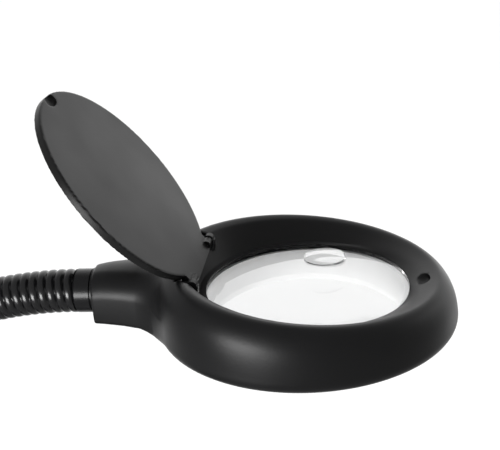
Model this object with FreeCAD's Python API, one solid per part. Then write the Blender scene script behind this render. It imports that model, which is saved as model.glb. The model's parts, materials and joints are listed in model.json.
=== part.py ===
import FreeCAD, Part
import math
import os

# Magnifying lamp: weighted round base, gooseneck, ring head with a 90 mm lens and a hinged lens cover.
# Millimetres. The origin is the centre of the base's underside, +Z is up and +X points to the head's tip.

V = FreeCAD.Vector
os.makedirs("parts", exist_ok=True)

# ---- driving dimensions -------------------------------------------------
# base
BASE_R = 90.0
BASE_TOP = 24.0
PAD_R = 86.0
PAD_T = 2.0
PLATE_R = 87.2
PLATE_T = 2.0
WEIGHT_R = 72.0
WEIGHT_T = 10.0
SHELL_T = 2.5
BASE_SCREW_R = 80.0
NECK_X = -45.0
SWITCH_X = 48.0
JACK_Z = 9.4
# gooseneck
SEGMENTS = 8
FERRULE_H = 24.0
SEG_STRAIGHT = 44.0
BEND_R = 195.0
BEND_COUNT = SEGMENTS - 1
BEND_DEG = 90.0 / BEND_COUNT
JOINT_GAP = 2.2
RIBS = 10
RIB_R = 1.35
RIB_CREST = 10.25
SLEEVE_OUT = 8.9
SLEEVE_IN = 7.3
CORE_OUT = 6.8
CORE_IN = 4.6
LEAD_R = 2.0
# head, in its own frame: lens plane z = 0, neck on the -x side, tip on the +x side
LENS_SIGHT_R = 45.0
WELL_R = 48.0
WELL_Z = 1.2
LENS_R = 47.5
LENS_EDGE = 2.0
LENS_SPHERE = 326.0
SPOT_R = 10.0
SPOT_X = 8.4
SPOT_Y = 25.2
HEAD_R = 69.2
EQUATOR_Z = -11.5
BOTTOM_Z = -20.5
CREST_R = 59.6
CREST_Z = 10.2
RIM_R = 55.4
RIM_Z = 8.9
TILT = 6.0
RING_X = 0.5
WALL = 2.2
NECK_END = -97.5
NECK_AXIS_Z = -1.2
FERRULE_L = 9.5
# lens cover, in the tilted rim frame, drawn closed
LID_R = 51.2
LID_T = 3.4
HINGE_U = -48.0
HINGE_W = 8.2
LID_CENTRE = 49.6
LID_UNDER = 8.45
LID_TAIL = 2.6
KNUCKLE_Y = 23.6
KNUCKLE_L = 5.6
OPEN_DEG = 133.6

# ---- derived places -----------------------------------------------------
SEG_Z0 = BASE_TOP + FERRULE_H
BEND_Z = SEG_Z0 + SEG_STRAIGHT
BEND_CX = NECK_X + BEND_R
HEAD_X = BEND_CX + FERRULE_L - NECK_END
HEAD_Z = BEND_Z + BEND_R - NECK_AXIS_Z
TO_HEAD = V(HEAD_X, 0, HEAD_Z)
ORIGIN = V(0, 0, 0)
YAXIS = V(0, 1, 0)
ZAXIS = V(0, 0, 1)


def export(shape, node):
    shape.exportStep("parts/" + node + ".step")


def cyl(r, z0, z1, x=0.0, y=0.0):
    return Part.makeCylinder(r, z1 - z0, V(x, y, z0))


def tube(r_out, r_in, z0, z1, x=0.0, y=0.0):
    return cyl(r_out, z0, z1, x, y).cut(cyl(r_in, z0 - 1, z1 + 1, x, y))


def box(x0, x1, y0, y1, z0, z1):
    return Part.makeBox(x1 - x0, y1 - y0, z1 - z0, V(x0, y0, z0))


def revolve(points):
    wire = Part.makePolygon([V(r, 0, z) for r, z in points] + [V(points[0][0], 0, points[0][1])])
    return Part.Face(wire).revolve(ORIGIN, ZAXIS, 360)


def revolve_edges(edges):
    return Part.Face(Part.Wire(Part.__sortEdges__(edges))).revolve(ORIGIN, ZAXIS, 360)


def line(r0, z0, r1, z1):
    return Part.makeLine(V(r0, 0, z0), V(r1, 0, z1))


def curve(points):
    spline = Part.BSplineCurve()
    spline.interpolate([V(r, 0, z) for r, z in points])
    return spline.toShape()


def fuse(shapes):
    whole = shapes[0]
    if len(shapes) > 1:
        whole = whole.multiFuse(shapes[1:])
    return whole.removeSplitter()


def cut(shape, tools):
    for tool in tools:
        shape = shape.cut(tool)
    return shape


def to_row(shape):
    moved = shape.copy()
    moved.translate(TO_HEAD)
    return moved


def tilted(shape):
    moved = shape.copy()
    moved.rotate(ORIGIN, YAXIS, TILT)
    return moved


def slanted(shape):
    """Leans level heights to the rim's slant and leaves the plan view as it is."""
    lean = FreeCAD.Matrix()
    lean.A31 = -math.tan(math.radians(TILT))
    moved = shape.transformGeometry(lean)
    moved.translate(V(RING_X, 0, 0))
    return moved


def ring_centred(shape):
    moved = shape.copy()
    moved.translate(V(RING_X, 0, 0))
    return moved


# ---- base ---------------------------------------------------------------
def base_top_curve(r_out, z_low, z_top, flat_r):
    points = []
    for i in range(13):
        a = math.radians(90.0 * i / 12)
        points.append((flat_r + (r_out - flat_r) * math.sin(a), z_low + (z_top - z_low) * math.cos(a)))
    return points


def base_shell():
    outer = base_top_curve(BASE_R, 12.0, BASE_TOP, 74.0)
    inner = base_top_curve(BASE_R - SHELL_T, 12.0, BASE_TOP - SHELL_T, 74.0)
    solid = revolve_edges([
        curve(outer),
        line(BASE_R, 12.0, BASE_R, 4.2),
        line(BASE_R, 4.2, BASE_R - 1.2, 3.0),
        line(BASE_R - 1.2, 3.0, BASE_R - SHELL_T, 3.0),
        line(BASE_R - SHELL_T, 3.0, BASE_R - SHELL_T, 12.0),
        curve(inner),
        line(74.0, BASE_TOP - SHELL_T, 0.0, BASE_TOP - SHELL_T),
        line(0.0, BASE_TOP - SHELL_T, 0.0, BASE_TOP),
        line(0.0, BASE_TOP, 74.0, BASE_TOP),
    ])
    bosses = [cyl(3.6, PAD_T + PLATE_T, 20.5, x, y) for x, y in base_screw_places()]
    solid = fuse([solid] + bosses)
    holes = [cyl(1.3, 3.0, 14.0, x, y) for x, y in base_screw_places()]
    holes.append(cyl(8.2, 15.0, 30.0, NECK_X, 0))
    holes.append(box(SWITCH_X - 9.6, SWITCH_X + 9.6, -6.7, 6.7, 15.0, 30.0))
    holes.append(Part.makeCylinder(4.2, 12.0, V(-BASE_R - 2, 0, JACK_Z), V(1, 0, 0)))
    return cut(solid, holes)


def base_screw_places():
    angles = [45.0, 135.0, 225.0, 315.0]
    turns = [math.radians(a) for a in angles]
    return [(BASE_SCREW_R * math.cos(t), BASE_SCREW_R * math.sin(t)) for t in turns]


def base_plate():
    plate = cyl(PLATE_R, PAD_T, PAD_T + PLATE_T)
    for x, y in base_screw_places():
        plate = plate.cut(cyl(1.7, 0, 6, x, y))
        plate = plate.cut(cyl(3.1, PAD_T - 1, PAD_T + 0.9, x, y))
    return plate


def base_pad():
    pad = cyl(PAD_R, 0, PAD_T)
    return cut(pad, [cyl(3.6, -1, 3, x, y) for x, y in base_screw_places()])


def screw(x, y, z_head, head_r, head_t, shaft_r, length):
    head = cyl(head_r, z_head, z_head + head_t, x, y)
    shaft = cyl(shaft_r, z_head + head_t, z_head + head_t + length, x, y)
    slot_a = box(x - 1.4, x + 1.4, y - 0.3, y + 0.3, z_head - 0.1, z_head + 0.4)
    slot_b = box(x - 0.3, x + 0.3, y - 1.4, y + 1.4, z_head - 0.1, z_head + 0.4)
    return cut(head.fuse(shaft).removeSplitter(), [slot_a, slot_b])


def base_weight():
    z0 = PAD_T + PLATE_T
    weight = cyl(WEIGHT_R, z0, z0 + WEIGHT_T)
    hole = cyl(16.0, z0 - 1, z0 + WEIGHT_T + 1, NECK_X, 0)
    slot = box(SWITCH_X - 18, SWITCH_X + 13, -10, 10, z0 - 1, z0 + WEIGHT_T + 1)
    channel = box(NECK_X, SWITCH_X, -4, 4, z0 + WEIGHT_T - 5, z0 + WEIGHT_T + 1)
    rear = box(-WEIGHT_R - 2, NECK_X, -7.5, 7.5, z0 + WEIGHT_T - 7.5, z0 + WEIGHT_T + 1)
    return cut(weight, [hole, slot, channel, rear])


def switch_housing():
    bezel = box(SWITCH_X - 10.6, SWITCH_X + 10.6, -7.6, 7.6, BASE_TOP, BASE_TOP + 1.8)
    bezel = bezel.makeChamfer(0.7, [e for e in bezel.Edges if e.BoundBox.ZMin > BASE_TOP + 1.7])
    barrel = box(SWITCH_X - 9.3, SWITCH_X + 9.3, -6.4, 6.4, 9.5, BASE_TOP + 0.2)
    well = box(SWITCH_X - 8.0, SWITCH_X + 8.0, -5.2, 5.2, 16.5, BASE_TOP + 4)
    ears = [Part.makeCylinder(0.9, 1.0, V(SWITCH_X, -5.3, ROCKER_Z), V(0, 1, 0))]
    ears.append(Part.makeCylinder(0.9, 1.0, V(SWITCH_X, 4.3, ROCKER_Z), V(0, 1, 0)))
    tags = [box(SWITCH_X + dx - 0.4, SWITCH_X + dx + 0.4, -2.4, 2.4, 5.0, 9.6) for dx in (-4.1, 2.5)]
    body = bezel.fuse(barrel).cut(well)
    return fuse([body] + ears + tags)


ROCKER_Z = BASE_TOP - 1.5
ROCKER_TILT = 8.0


def rocker():
    points = [(-7.3, -1.6), (-7.3, 1.3), (0.0, 2.4), (7.3, 1.3), (7.3, -1.6), (2.0, -4.4), (-2.0, -4.4)]
    top = [V(x, -4.7, z + 1.6) for x, z in points[1:4]]
    base_points = [V(x, -4.7, z) for x, z in points]
    base_points[1] = top[0]
    base_points[2] = V(0, -4.7, 2.6)
    base_points[3] = top[2]
    face = Part.Face(Part.makePolygon(base_points + [base_points[0]]))
    key = face.extrude(V(0, 9.4, 0))
    bore = Part.makeCylinder(0.95, 12, V(0, -6, 0), V(0, 1, 0))
    key = key.cut(bore)
    key.rotate(ORIGIN, YAXIS, -ROCKER_TILT)
    key.translate(V(SWITCH_X, 0, ROCKER_Z))
    return key


def dc_jack():
    def along(r, x0, x1):
        return Part.makeCylinder(r, x1 - x0, V(x0, 0, JACK_Z), V(1, 0, 0))
    barrel = along(4.1, -BASE_R - 0.2, -BASE_R + 4.0)
    barrel = barrel.fuse(along(4.9, -BASE_R + SHELL_T + 0.8, -BASE_R + 14.0))
    barrel = barrel.cut(along(2.85, -BASE_R - 1, -BASE_R + 10.0))
    barrel = barrel.fuse(along(1.0, -BASE_R + 1.0, -BASE_R + 11.0))
    return barrel.removeSplitter()


def lower_ferrule():
    outline = [
        (CORE_OUT + 0.05, -12.0), (8.0, -12.0), (8.0, 0.0), (15.5, 0.0), (15.5, 2.2), (14.9, 2.8),
        (12.6, 2.8), (12.6, FERRULE_H - 1.2), (11.4, FERRULE_H), (CORE_OUT + 0.05, FERRULE_H),
    ]
    ferrule = revolve(outline)
    groove = tube(14.0, 12.1, FERRULE_H - 5.4, FERRULE_H - 4.4)
    ferrule = ferrule.cut(groove)
    ferrule.translate(V(NECK_X, 0, BASE_TOP))
    return ferrule


def neck_nut():
    z1 = BASE_TOP - SHELL_T
    turns = [math.radians(60 * i) for i in range(6)]
    corners = [V(NECK_X + 12.5 * math.cos(t), 12.5 * math.sin(t), z1 - 4.0) for t in turns]
    prism = Part.Face(Part.makePolygon(corners + [corners[0]])).extrude(V(0, 0, 4.0))
    return prism.cut(cyl(8.0, 0, 30, NECK_X, 0))


def cable(points, r):
    """Round cable through the points: straight runs joined by tangent arcs."""
    spots = [V(*p) for p in points]
    edges = []
    last = spots[0]
    for i in range(1, len(spots) - 1):
        here = spots[i]
        before = (spots[i - 1] - here)
        after = (spots[i + 1] - here)
        reach = 0.45 * min(before.Length, after.Length)
        before.normalize()
        after.normalize()
        enter = here + before * reach
        leave = here + after * reach
        half = before.getAngle(after) / 2
        radius = reach * math.tan(half)
        inward = before + after
        inward.normalize()
        middle = here + inward * (radius / math.sin(half) - radius)
        edges.append(Part.LineSegment(last, enter).toShape())
        edges.append(Part.Arc(enter, middle, leave).toShape())
        last = leave
    edges.append(Part.LineSegment(last, spots[-1]).toShape())
    start = spots[1] - spots[0]
    section = Part.Wire(Part.makeCircle(r, spots[0], start))
    return Part.Wire(edges).makePipeShell([section], True, True)


def base_leads():
    """Jack to switch, and switch to neck, laid in the channels of the weight."""
    jack = cable([(-75.8, 2.2, 10.0), (-58.0, 4.6, 10.1), (-34.0, 2.6, 10.4), (6.0, 1.6, 10.6),
                  (30.0, 2.2, 10.9), (36.4, 1.4, 7.5), (43.2, 0.0, 7.2)], 0.9)
    neck = cable([(NECK_X, 0, 9.6), (-30.0, -2.2, 10.2), (2.0, -2.4, 11.2), (32.0, -2.2, 11.1),
                  (41.0, -4.4, 7.0), (50.6, -3.4, 7.2)], 0.9)
    return Part.makeCompound([jack, neck])


# ---- gooseneck ----------------------------------------------------------
def straight_ring(r_out, r_in, z0, z1):
    body = Part.makeCylinder(r_out, z1 - z0, V(NECK_X, 0, z0))
    if r_in > 0:
        body = body.cut(Part.makeCylinder(r_in, z1 - z0 + 2, V(NECK_X, 0, z0 - 1)))
    return body


def bent_ring(r_out, r_in, gap_deg, end_deg):
    """First arc segment: starts at the top of the straight run, bends towards +X."""
    def solid(r, start, sweep):
        face = Part.Face(Part.Wire(Part.makeCircle(r, V(NECK_X, 0, BEND_Z), ZAXIS)))
        face.rotate(V(BEND_CX, 0, BEND_Z), YAXIS, start)
        return face.revolve(V(BEND_CX, 0, BEND_Z), YAXIS, sweep)
    sweep = BEND_DEG - gap_deg - end_deg
    body = solid(r_out, gap_deg, sweep)
    if r_in > 0:
        body = body.cut(solid(r_in, gap_deg - 0.4, sweep + 0.8))
    return body


def gap_angle(gap):
    return math.degrees(gap / 2 / BEND_R)


def sleeve_straight():
    z0 = SEG_Z0
    z1 = BEND_Z - JOINT_GAP / 2
    body = straight_ring(SLEEVE_OUT, SLEEVE_IN, z0, z1)
    pitch = (z1 - z0 - 2 * RIB_R) / (RIBS - 1)
    centres = [V(NECK_X, 0, z0 + RIB_R + i * pitch) for i in range(RIBS)]
    ribs = [Part.makeTorus(RIB_CREST - RIB_R, RIB_R, centre) for centre in centres]
    inner = Part.makeCylinder(SLEEVE_IN, z1 - z0 + 2, V(NECK_X, 0, z0 - 1))
    return fuse([body] + ribs).cut(inner)


def sleeve_bent(end_deg):
    g = gap_angle(JOINT_GAP)
    body = bent_ring(SLEEVE_OUT, SLEEVE_IN, g, end_deg)
    edge = math.degrees(RIB_R / BEND_R)
    first = g + edge
    pitch = (BEND_DEG - 2 * first) / (RIBS - 1)
    ribs = []
    for i in range(RIBS):
        rib = Part.makeTorus(RIB_CREST - RIB_R, RIB_R, V(NECK_X, 0, BEND_Z))
        rib.rotate(V(BEND_CX, 0, BEND_Z), YAXIS, first + i * pitch)
        ribs.append(rib)
    return fuse([body] + ribs)


def placed_segment(shape, index):
    moved = shape.copy()
    moved.rotate(V(BEND_CX, 0, BEND_Z), YAXIS, BEND_DEG * index)
    return moved


def gooseneck():
    core_gap = gap_angle(1.6)
    lead_gap = gap_angle(0.9)
    export(sleeve_straight(), "neck_sleeve_1")
    export(straight_ring(CORE_OUT, CORE_IN, BASE_TOP - 10.0, BEND_Z - 0.8), "neck_core_1")
    export(straight_ring(LEAD_R, 0, 9.0 + 1.6, BEND_Z - 0.45), "neck_lead_1")
    sleeve = sleeve_bent(gap_angle(JOINT_GAP))
    core = bent_ring(CORE_OUT, CORE_IN, core_gap, core_gap)
    lead = bent_ring(LEAD_R, 0, lead_gap, lead_gap)
    last = BEND_COUNT - 1
    for i in range(last):
        n = str(i + 2)
        export(placed_segment(sleeve, i), "neck_sleeve_" + n)
        export(placed_segment(core, i), "neck_core_" + n)
        export(placed_segment(lead, i), "neck_lead_" + n)
    n = str(SEGMENTS)
    export(placed_segment(sleeve_bent(0.0), last), "neck_sleeve_" + n)
    core = placed_segment(bent_ring(CORE_OUT, CORE_IN, core_gap, 0.0), last)
    export(Part.makeCompound([core, head_run(CORE_OUT, CORE_IN, 16.0)]), "neck_core_" + n)
    lead = placed_segment(bent_ring(LEAD_R, 0, lead_gap, 0.0), last)
    export(Part.makeCompound([lead, head_run(LEAD_R, 0, 21.0)]), "neck_lead_" + n)


def head_run(r_out, r_in, length):
    """Straight run from the end of the arc into the head."""
    start = V(BEND_CX, 0, BEND_Z + BEND_R)
    run = Part.makeCylinder(r_out, length, start, V(1, 0, 0))
    if r_in > 0:
        run = run.cut(Part.makeCylinder(r_in, length + 2, start - V(1, 0, 0), V(1, 0, 0)))
    return run


# ---- head ---------------------------------------------------------------
def ellipse_points(r_c, z_c, a, b, steps):
    points = []
    for i in range(steps + 1):
        t = math.radians(90.0 * i / steps)
        points.append((r_c + a * math.sin(t), z_c + b * math.cos(t)))
    return points


def top_form(inset):
    """Ring seen from above, tilted like the rim: crest, outer slope, then straight down."""
    r_out = HEAD_R - inset
    crest_z = CREST_Z - inset
    dome = ellipse_points(CREST_R, EQUATOR_Z, r_out - CREST_R, crest_z - EQUATOR_Z, 10)
    if inset > 0:
        edges = [
            line(20.0, -60.0, 20.0, crest_z),
            line(20.0, crest_z, CREST_R, crest_z),
        ]
    else:
        edges = [
            line(20.0, -60.0, 20.0, RIM_Z),
            line(20.0, RIM_Z, RIM_R, RIM_Z),
            Part.Arc(V(RIM_R, 0, RIM_Z), V(57.3, 0, CREST_Z - 0.36), V(CREST_R, 0, CREST_Z)).toShape(),
        ]
    edges.append(curve(dome))
    edges.append(line(r_out, EQUATOR_Z, r_out, -60.0))
    edges.append(line(r_out, -60.0, 20.0, -60.0))
    return slanted(revolve_edges(edges))


def bottom_form(inset):
    """Ring seen from below: flat underside, rounded out to the widest circle, then straight up."""
    r_out = HEAD_R - inset
    low = BOTTOM_Z + inset
    dome = []
    for i in range(11):
        t = math.radians(90.0 * i / 10)
        dome.append((50.0 + (r_out - 50.0) * math.sin(t), EQUATOR_Z + (low - EQUATOR_Z) * math.cos(t)))
    return ring_centred(revolve_edges([
        line(20.0, 60.0, 20.0, low),
        line(20.0, low, 50.0, low),
        curve(dome),
        line(r_out, EQUATOR_Z, r_out, 60.0),
        line(r_out, 60.0, 20.0, 60.0),
    ]))


def rounded_section(x, half, low, high, r_top, r_low):
    """Closed wire across the neck: flat sides, large top corners, small bottom corners."""
    k = math.sqrt(0.5)
    edges = [
        Part.makeLine(V(x, -half + r_low, low), V(x, half - r_low, low)),
        Part.Arc(V(x, half - r_low, low), V(x, half - r_low + r_low * k, low + r_low - r_low * k),
                 V(x, half, low + r_low)).toShape(),
        Part.makeLine(V(x, half, low + r_low), V(x, half, high - r_top)),
        Part.Arc(V(x, half, high - r_top), V(x, half - r_top + r_top * k, high - r_top + r_top * k),
                 V(x, half - r_top, high)).toShape(),
        Part.makeLine(V(x, half - r_top, high), V(x, -half + r_top, high)),
        Part.Arc(V(x, -half + r_top, high), V(x, -half + r_top - r_top * k, high - r_top + r_top * k),
                 V(x, -half, high - r_top)).toShape(),
        Part.makeLine(V(x, -half, high - r_top), V(x, -half, low + r_low)),
        Part.Arc(V(x, -half, low + r_low), V(x, -half + r_low - r_low * k, low + r_low - r_low * k),
                 V(x, -half + r_low, low)).toShape(),
    ]
    return Part.Wire(edges)


# plan half-width, underside and top of the neck at each station from its end to inside the ring
NECK_STATIONS = [
    (NECK_END, 12.4, -13.2, 11.2, 6.0, 1.6),
    (-90.0, 13.7, -13.4, 11.6, 6.4, 2.0),
    (-83.0, 15.4, -13.8, 12.3, 7.0, 2.4),
    (-77.0, 17.6, -14.6, 13.0, 7.6, 2.8),
    (-71.0, 21.2, -15.8, 13.6, 8.4, 3.4),
    (-65.5, 26.0, -17.2, 14.0, 9.0, 4.0),
    (-60.0, 32.0, -18.6, 14.0, 9.4, 4.4),
]


def neck_form(inset):
    wires = []
    for x, half, low, high, r_top, r_low in NECK_STATIONS:
        at = x
        if inset > 0 and x == NECK_END:
            at = x + 3.0
        wires.append(rounded_section(at, half - inset, low + inset, high - inset,
                                     r_top - 0.6 * inset, max(r_low - 0.5 * inset, 0.5)))
    return Part.makeLoft(wires, True, False)


def well_form(r_low, z_low, r_high, z_high, up):
    """Tapered opening above the lens, from a level circle to the tilted rim circle."""
    low = Part.Wire(Part.makeCircle(r_low, V(0, 0, z_low), ZAXIS))
    high = Part.Wire(slanted_circle(r_high, z_high))
    cone = Part.makeLoft([low, high], True, True)
    lid_space = Part.makeLoft([high, Part.Wire(slanted_circle(r_high, z_high + up))], True, True)
    return cone.fuse(lid_space)


def slanted_circle(r, z):
    """Level circle in plan, leaning with the rim: an ellipse in its own plane."""
    slope = math.tan(math.radians(TILT))
    centre = V(RING_X, 0, z - slope * RING_X)
    far = centre + V(r, 0, -slope * r)
    ring = Part.Ellipse(far, centre + V(0, r, 0), centre)
    return ring.toShape()


def hinge_block():
    return tilted(box(-57.5, -42.0, -31.0, 31.0, 1.2, 20.0))


def head_shell():
    outer = top_form(0).common(bottom_form(0)).fuse(neck_form(0)).removeSplitter()
    inner = top_form(WALL).common(bottom_form(WALL)).fuse(neck_form(WALL))
    keep = cyl(BARREL_R, -60, 60)
    jacket = well_form(WELL_R + 2.4, -0.2, RIM_R + 3.0, RIM_Z + 0.4, 12.0)
    inner = inner.cut(keep).cut(jacket).cut(hinge_block())
    shell = outer.cut(inner)
    shell = shell.cut(well_form(WELL_R, WELL_Z, RIM_R, RIM_Z + 0.02, 12.0))
    shell = shell.cut(cyl(LENS_SIGHT_R, -60, 30))
    # open the underside for the lens, the lamp ring and the covers
    shell = shell.cut(cyl(LENS_R + 0.15, -60, 0.0))
    shell = shell.cut(cyl(BARREL_R + 0.2, -60, BARREL_LOW))
    shell = shell.cut(cyl(COVER_R + 0.15, -60, BOTTOM_Z + WALL + 1.8))
    shell = shell.cut(neck_window(0.15))
    # stop flange for the lower edge of the neck, ferrule bore
    bore = Part.makeCylinder(8.0, 8.0, V(NECK_END - 1, 0, NECK_AXIS_Z), V(1, 0, 0))
    shell = shell.cut(bore)
    return finish_head(shell)


BARREL_R = 49.4
BARREL_LOW = -5.2
COVER_R = 61.0
SCREW_R = 57.9
BOSS_LOW = -16.6
SCREW_ANGLES = [30.0, 102.0, 150.0, 210.0, 258.0, 330.0]


def head_screw_places():
    turns = [math.radians(a) for a in SCREW_ANGLES]
    return [(SCREW_R * math.cos(t), SCREW_R * math.sin(t)) for t in turns]


def ear(sign):
    """Upright lug that carries one hinge pin, standing on the well wall."""
    lug = box(HINGE_U - 2.6, HINGE_U + 2.8, 24.1, 28.0, 3.0, HINGE_W)
    head = Part.makeCylinder(2.3, 3.9, V(HINGE_U, 24.1, HINGE_W), V(0, 1, 0))
    lug = lug.fuse(head)
    lug = lug.cut(Part.makeCylinder(0.9, 8.0, V(HINGE_U, 22.0, HINGE_W), V(0, 1, 0)))
    if sign < 0:
        lug = lug.mirror(ORIGIN, YAXIS)
    return tilted(lug)


def hinge_pocket():
    """Room for the cover's rolled edge, and a shallow relief where the open cover leans over the rim."""
    half = KNUCKLE_Y + 0.5
    pocket = box(HINGE_U - 5.4, HINGE_U + 6.0, -half, half, HINGE_W - 4.6, HINGE_W + 9.0)
    relief = box(HINGE_U - 7.4, HINGE_U + 2.0, -28.4, 28.4, HINGE_W + 0.6, HINGE_W + 9.0)
    return tilted(pocket.fuse(relief))


def latch_pocket():
    """Oval dimple in the well wall at the tip: finger room and catch for the cover."""
    ball = Part.makeSphere(1.0, ORIGIN)
    squash = FreeCAD.Matrix()
    squash.scale(3.4, 5.2, 2.7)
    dimple = ball.transformGeometry(squash)
    dimple.translate(V(52.8, 0, RIM_Z - 0.6))
    return tilted(dimple)


def finish_head(shell):
    shell = shell.cut(hinge_pocket())
    lugs = [ear(1), ear(-1)]
    bosses = []
    pilots = []
    roof = top_form(WALL / 2)
    for x, y in head_screw_places():
        bosses.append(cyl(2.9, BOSS_LOW, 20.0, x, y).common(roof))
        pilots.append(cyl(0.95, BOTTOM_Z + WALL - 1, -8.0, x, y))
    shell = shell.fuse(lugs[0]).fuse(lugs[1])
    shell = shell.multiFuse(bosses)
    pilots.append(tilted(Part.makeCylinder(0.9, 8.0, V(HINGE_U, KNUCKLE_Y - 1, HINGE_W), V(0, 1, 0))))
    pilots.append(tilted(Part.makeCylinder(0.9, 8.0, V(HINGE_U, -KNUCKLE_Y - 7, HINGE_W), V(0, 1, 0))))
    shell = cut(shell, pilots + [latch_pocket()])
    return shell


def neck_window(gap):
    """Opening in the neck's flat underside, from behind its end wall to the ring."""
    window = box(-92.0 - gap, -60.5, -9.5 - gap, 9.5 + gap, -30.0, -8.0)
    return window.cut(cyl(COVER_R + 1.6 - gap, -60, 60))


def lens():
    z_mid = -LENS_EDGE / 2 - (LENS_R ** 2 - LENS_SIGHT_R ** 2) / (2 * LENS_SPHERE) - 0.02
    drop = math.sqrt(LENS_SPHERE ** 2 - LENS_R ** 2) - LENS_EDGE / 2
    top = Part.makeSphere(LENS_SPHERE, V(0, 0, z_mid - drop))
    low = Part.makeSphere(LENS_SPHERE, V(0, 0, z_mid + drop))
    return cyl(LENS_R, -20, 20).common(top).common(low)


def lens_top(r):
    z_mid = -LENS_EDGE / 2 - (LENS_R ** 2 - LENS_SIGHT_R ** 2) / (2 * LENS_SPHERE) - 0.02
    drop = math.sqrt(LENS_SPHERE ** 2 - LENS_R ** 2) - LENS_EDGE / 2
    return z_mid - drop + math.sqrt(LENS_SPHERE ** 2 - r ** 2)


def spot_lens(body):
    far = lens_top(math.hypot(SPOT_X, SPOT_Y) + SPOT_R)
    blank = cyl(SPOT_R, far - 0.5, far + 8.0, SPOT_X, SPOT_Y)
    top = lens_top(math.hypot(SPOT_X, SPOT_Y) - SPOT_R) + 1.3
    crown = Part.makeSphere(70.0, V(SPOT_X, SPOT_Y, top - 70.0))
    return blank.common(crown).cut(body)


def lens_ring():
    return revolve([
        (45.3, -3.0), (47.5, -3.0), (47.5, BARREL_LOW - 0.1), (49.2, BARREL_LOW - 0.1), (49.2, -6.8),
        (47.2, -6.8), (47.2, -18.6), (48.2, -18.6), (48.2, BOTTOM_Z), (46.4, BOTTOM_Z), (45.6, -17.5),
    ])


def led_board():
    board = tube(61.6, 49.6, -8.6, -7.0)
    for x, y in head_screw_places():
        board = board.cut(cyl(3.3, -20, 0, x, y))
    return board


def leds():
    bodies = []
    for i in range(36):
        chip = box(51.0, 54.5, -1.4, 1.4, -9.4, -8.6)
        chip.rotate(ORIGIN, ZAXIS, 10.0 * i + 5.0)
        bodies.append(chip)
    return Part.makeCompound(bodies)


def driver_chip():
    return Part.makeCompound([
        box(-60.5, -56.0, -3.2, 3.2, -7.0, -5.0),
        box(-54.5, -51.5, 6.0, 10.5, -7.0, -5.4),
        box(-54.5, -51.5, -10.5, -6.0, -7.0, -5.4),
    ])


def diffuser():
    ring = revolve([
        (48.6, BOTTOM_Z), (54.4, BOTTOM_Z), (54.4, BOTTOM_Z + 1.0), (55.6, BOTTOM_Z + 1.0),
        (55.6, BOTTOM_Z + 2.4), (47.6, BOTTOM_Z + 2.4), (47.6, BOTTOM_Z + 2.1), (48.6, BOTTOM_Z + 2.1),
    ])
    return ring


def bottom_cover():
    """Black ring round the diffuser, curved like the shell it meets."""
    form = bottom_form(0).cut(bottom_form(WALL))
    ring = form.common(tube(COVER_R, 54.6, -60, EQUATOR_Z))
    ring = ring.cut(cyl(55.8, BOTTOM_Z + 0.85, 0))
    for x, y in head_screw_places():
        ring = ring.cut(cyl(1.15, -40, 0, x, y))
        ring = ring.cut(cyl(2.1, -40, BOTTOM_Z + 1.3, x, y))
    return ring


def cover_screws():
    bodies = []
    for x, y in head_screw_places():
        head = cyl(1.95, BOTTOM_Z + 0.3, BOTTOM_Z + 1.3, x, y)
        shaft = cyl(0.95, BOTTOM_Z + 1.3, -9.5, x, y)
        cross = box(x - 1.1, x + 1.1, y - 0.25, y + 0.25, BOTTOM_Z, BOTTOM_Z + 0.8)
        cross = cross.fuse(box(x - 0.25, x + 0.25, y - 1.1, y + 1.1, BOTTOM_Z, BOTTOM_Z + 0.8))
        bodies.append(head.fuse(shaft).removeSplitter().cut(cross))
    return Part.makeCompound(bodies)


def neck_cover():
    form = neck_form(0).cut(neck_form(WALL))
    return form.common(neck_window(0).common(box(-100, -60, -30, 30, -40, -8)))


def upper_ferrule():
    profile = [
        (CORE_OUT + 0.05, 0.0), (9.2, 0.0), (10.3, 1.0), (10.3, FERRULE_L - 1.6), (9.3, FERRULE_L - 1.6),
        (9.3, FERRULE_L - 0.9), (10.6, FERRULE_L - 0.9), (10.6, FERRULE_L), (8.0, FERRULE_L),
        (8.0, FERRULE_L + 8.6), (CORE_OUT + 0.05, FERRULE_L + 8.6),
    ]
    body = revolve(profile)
    body.rotate(ORIGIN, YAXIS, 90)
    body.translate(V(NECK_END - FERRULE_L, 0, NECK_AXIS_Z))
    return body


def gland_nut():
    start = V(NECK_END + 3.05, 0, NECK_AXIS_Z)
    nut = Part.makeCylinder(9.5, 3.5, start, V(1, 0, 0))
    return nut.cut(Part.makeCylinder(8.0, 8.0, start - V(2, 0, 0), V(1, 0, 0)))


def lid_pins():
    pins = []
    for s in (1, -1):
        y = 20.4 if s > 0 else -27.4
        pins.append(tilted(Part.makeCylinder(0.9, 7.0, V(HINGE_U, y, HINGE_W), V(0, 1, 0))))
    return Part.makeCompound(pins)


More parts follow.
